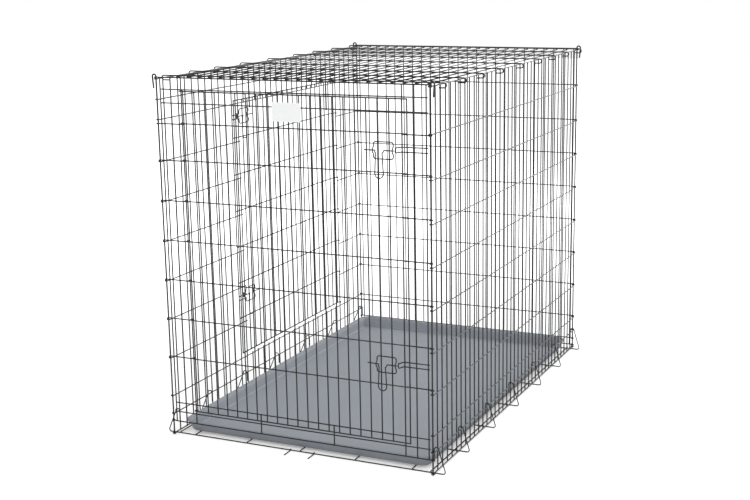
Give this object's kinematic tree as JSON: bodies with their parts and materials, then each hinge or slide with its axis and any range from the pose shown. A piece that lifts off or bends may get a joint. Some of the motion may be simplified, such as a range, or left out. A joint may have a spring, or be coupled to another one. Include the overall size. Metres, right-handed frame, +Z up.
{
  "type": "wire dog crate",
  "caption": "Large wire dog crate with hinged front and side doors, slide-bolt latches, corner drop pins, hooked top and floor grids and a slide-out plastic pan.",
  "frame": {"origin": "on the floor, midway between the four corner pins, within 9 mm of the middle of the outline, which the folded pan stops lengthen at the front", "axes": "+Z up, +Y towards the rear panel, +X towards the side without a door; the front door faces -Y and the side door -X"},
  "size_m": [0.9741, 1.4301, 1.158],
  "materials": {
    "floor_cross_wire_1": "satin electro-coat",
    "floor_cross_wire_2": "satin electro-coat",
    "floor_cross_wire_3": "satin electro-coat",
    "floor_cross_wire_4": "satin electro-coat",
    "floor_cross_wire_5": "satin electro-coat",
    "floor_cross_wire_6": "satin electro-coat",
    "floor_cross_wire_7": "satin electro-coat",
    "floor_long_wire_1": "satin electro-coat",
    "floor_long_wire_2": "satin electro-coat",
    "floor_long_wire_3": "satin electro-coat",
    "floor_long_wire_4": "satin electro-coat",
    "floor_long_wire_5": "satin electro-coat",
    "floor_long_wire_6": "satin electro-coat",
    "floor_long_wire_7": "satin electro-coat",
    "front_door": "satin electro-coat",
    "front_left_drop_pin": "satin electro-coat",
    "front_lower_bolt": "satin electro-coat",
    "front_lower_bolt_handle": "satin electro-coat",
    "front_lower_keeper": "satin electro-coat",
    "front_lower_latch_guide": "satin electro-coat",
    "front_panel_head": "satin electro-coat",
    "front_panel_hinge_strip": "satin electro-coat",
    "front_panel_latch_strip": "satin electro-coat",
    "front_panel_sill": "satin electro-coat",
    "front_right_drop_pin": "satin electro-coat",
    "front_upper_bolt": "satin electro-coat",
    "front_upper_bolt_handle": "satin electro-coat",
    "front_upper_keeper": "satin electro-coat",
    "front_upper_latch_guide": "satin electro-coat",
    "label_plate": "smooth, bare",
    "left_pan_stop": "satin electro-coat",
    "left_side_panel_front_strip": "satin electro-coat",
    "left_side_panel_head": "satin electro-coat",
    "left_side_panel_rear_strip": "satin electro-coat",
    "left_side_panel_sill": "satin electro-coat",
    "pan": "fine grain",
    "rear_left_drop_pin": "satin electro-coat",
    "rear_panel": "satin electro-coat",
    "rear_right_drop_pin": "satin electro-coat",
    "right_pan_stop": "satin electro-coat",
    "right_side_panel": "satin electro-coat",
    "side_door": "satin electro-coat",
    "side_lower_bolt": "satin electro-coat",
    "side_lower_bolt_handle": "satin electro-coat",
    "side_lower_keeper": "satin electro-coat",
    "side_lower_latch_guide": "satin electro-coat",
    "side_upper_bolt": "satin electro-coat",
    "side_upper_bolt_handle": "satin electro-coat",
    "side_upper_keeper": "satin electro-coat",
    "side_upper_latch_guide": "satin electro-coat",
    "top_panel": "satin electro-coat"
  },
  "bodies": {
    "crate": {"floor_cross_wire_1": "floor_cross_wire_1", "floor_cross_wire_2": "floor_cross_wire_2", "floor_cross_wire_3": "floor_cross_wire_3", "floor_cross_wire_4": "floor_cross_wire_4", "floor_cross_wire_5": "floor_cross_wire_5", "floor_cross_wire_6": "floor_cross_wire_6", "floor_cross_wire_7": "floor_cross_wire_7", "floor_long_wire_1": "floor_long_wire_1", "floor_long_wire_2": "floor_long_wire_2", "floor_long_wire_3": "floor_long_wire_3", "floor_long_wire_4": "floor_long_wire_4", "floor_long_wire_5": "floor_long_wire_5", "floor_long_wire_6": "floor_long_wire_6", "floor_long_wire_7": "floor_long_wire_7", "front_lower_keeper": "front_lower_keeper", "front_panel_head": "front_panel_head", "front_panel_hinge_strip": "front_panel_hinge_strip", "front_panel_latch_strip": "front_panel_latch_strip", "front_panel_sill": "front_panel_sill", "front_upper_keeper": "front_upper_keeper", "left_side_panel_front_strip": "left_side_panel_front_strip", "left_side_panel_head": "left_side_panel_head", "left_side_panel_rear_strip": "left_side_panel_rear_strip", "left_side_panel_sill": "left_side_panel_sill", "rear_panel": "rear_panel", "right_side_panel": "right_side_panel", "side_lower_keeper": "side_lower_keeper", "side_upper_keeper": "side_upper_keeper", "top_panel": "top_panel"},
    "front_door": {"front_door": "front_door", "label_plate": "label_plate", "front_upper_latch_guide": "front_upper_latch_guide", "front_lower_latch_guide": "front_lower_latch_guide"},
    "side_door": {"side_door": "side_door", "side_upper_latch_guide": "side_upper_latch_guide", "side_lower_latch_guide": "side_lower_latch_guide"},
    "pan": {"pan": "pan"},
    "front_left_drop_pin": {"front_left_drop_pin": "front_left_drop_pin"},
    "front_right_drop_pin": {"front_right_drop_pin": "front_right_drop_pin"},
    "rear_left_drop_pin": {"rear_left_drop_pin": "rear_left_drop_pin"},
    "rear_right_drop_pin": {"rear_right_drop_pin": "rear_right_drop_pin"},
    "front_upper_bolt": {"front_upper_bolt": "front_upper_bolt"},
    "front_upper_bolt_handle": {"front_upper_bolt_handle": "front_upper_bolt_handle"},
    "front_lower_bolt": {"front_lower_bolt": "front_lower_bolt"},
    "front_lower_bolt_handle": {"front_lower_bolt_handle": "front_lower_bolt_handle"},
    "side_upper_bolt": {"side_upper_bolt": "side_upper_bolt"},
    "side_upper_bolt_handle": {"side_upper_bolt_handle": "side_upper_bolt_handle"},
    "side_lower_bolt": {"side_lower_bolt": "side_lower_bolt"},
    "side_lower_bolt_handle": {"side_lower_bolt_handle": "side_lower_bolt_handle"},
    "left_pan_stop": {"left_pan_stop": "left_pan_stop"},
    "right_pan_stop": {"right_pan_stop": "right_pan_stop"}
  },
  "joints": [
    {"name": "front_door_hinge", "type": "hinge", "parent": "crate", "child": "front_door", "pos_m": [-0.364, -0.6965, 0.6], "axis": [0, 0, -1], "range_deg": [0, 140]},
    {"name": "side_door_hinge", "type": "hinge", "parent": "crate", "child": "side_door", "pos_m": [-0.4502, 0.5, 0.6], "axis": [0, 0, -1], "range_deg": [0, 140]},
    {"name": "pan_slide", "type": "slide", "parent": "crate", "child": "pan", "axis": [0, -1, 0], "range_m": [0, 1.36]},
    {"name": "front_left_pin_draw", "type": "slide", "parent": "crate", "child": "front_left_drop_pin", "axis": [0, 0, 1], "range_m": [0, 1.13]},
    {"name": "front_right_pin_draw", "type": "slide", "parent": "crate", "child": "front_right_drop_pin", "axis": [0, 0, 1], "range_m": [0, 1.13]},
    {"name": "rear_left_pin_draw", "type": "slide", "parent": "crate", "child": "rear_left_drop_pin", "axis": [0, 0, 1], "range_m": [0, 1.13]},
    {"name": "rear_right_pin_draw", "type": "slide", "parent": "crate", "child": "rear_right_drop_pin", "axis": [0, 0, 1], "range_m": [0, 1.13]},
    {"name": "front_upper_bolt_slide", "type": "slide", "parent": "front_door", "child": "front_upper_bolt", "axis": [1, 0, 0], "range_m": [-0.001, 0.0245]},
    {"name": "front_upper_bolt_handle_lift", "type": "hinge", "parent": "front_upper_bolt", "child": "front_upper_bolt_handle", "pos_m": [0.298, -0.7061, 0.959], "axis": [-1, 0, 0], "range_deg": [0, 90]},
    {"name": "front_lower_bolt_slide", "type": "slide", "parent": "front_door", "child": "front_lower_bolt", "axis": [1, 0, 0], "range_m": [-0.001, 0.0245]},
    {"name": "front_lower_bolt_handle_lift", "type": "hinge", "parent": "front_lower_bolt", "child": "front_lower_bolt_handle", "pos_m": [0.298, -0.7061, 0.327], "axis": [-1, 0, 0], "range_deg": [0, 90]},
    {"name": "side_upper_bolt_slide", "type": "slide", "parent": "side_door", "child": "side_upper_bolt", "axis": [0, -1, 0], "range_m": [-0.001, 0.0245]},
    {"name": "side_upper_bolt_handle_lift", "type": "hinge", "parent": "side_upper_bolt", "child": "side_upper_bolt_handle", "pos_m": [-0.4598, -0.162, 0.9695], "axis": [0, 1, 0], "range_deg": [0, 90]},
    {"name": "side_lower_bolt_slide", "type": "slide", "parent": "side_door", "child": "side_lower_bolt", "axis": [0, -1, 0], "range_m": [-0.001, 0.0245]},
    {"name": "side_lower_bolt_handle_lift", "type": "hinge", "parent": "side_lower_bolt", "child": "side_lower_bolt_handle", "pos_m": [-0.4598, -0.162, 0.344], "axis": [0, 1, 0], "range_deg": [0, 90]},
    {"name": "left_pan_stop_fold", "type": "hinge", "parent": "crate", "child": "left_pan_stop", "pos_m": [-0.034, -0.68, 0.00182], "axis": [1, 0, 0], "range_deg": [-90, 0]},
    {"name": "right_pan_stop_fold", "type": "hinge", "parent": "crate", "child": "right_pan_stop", "pos_m": [0.048, -0.68, 0.00182], "axis": [1, 0, 0], "range_deg": [-90, 0]}
  ]
}
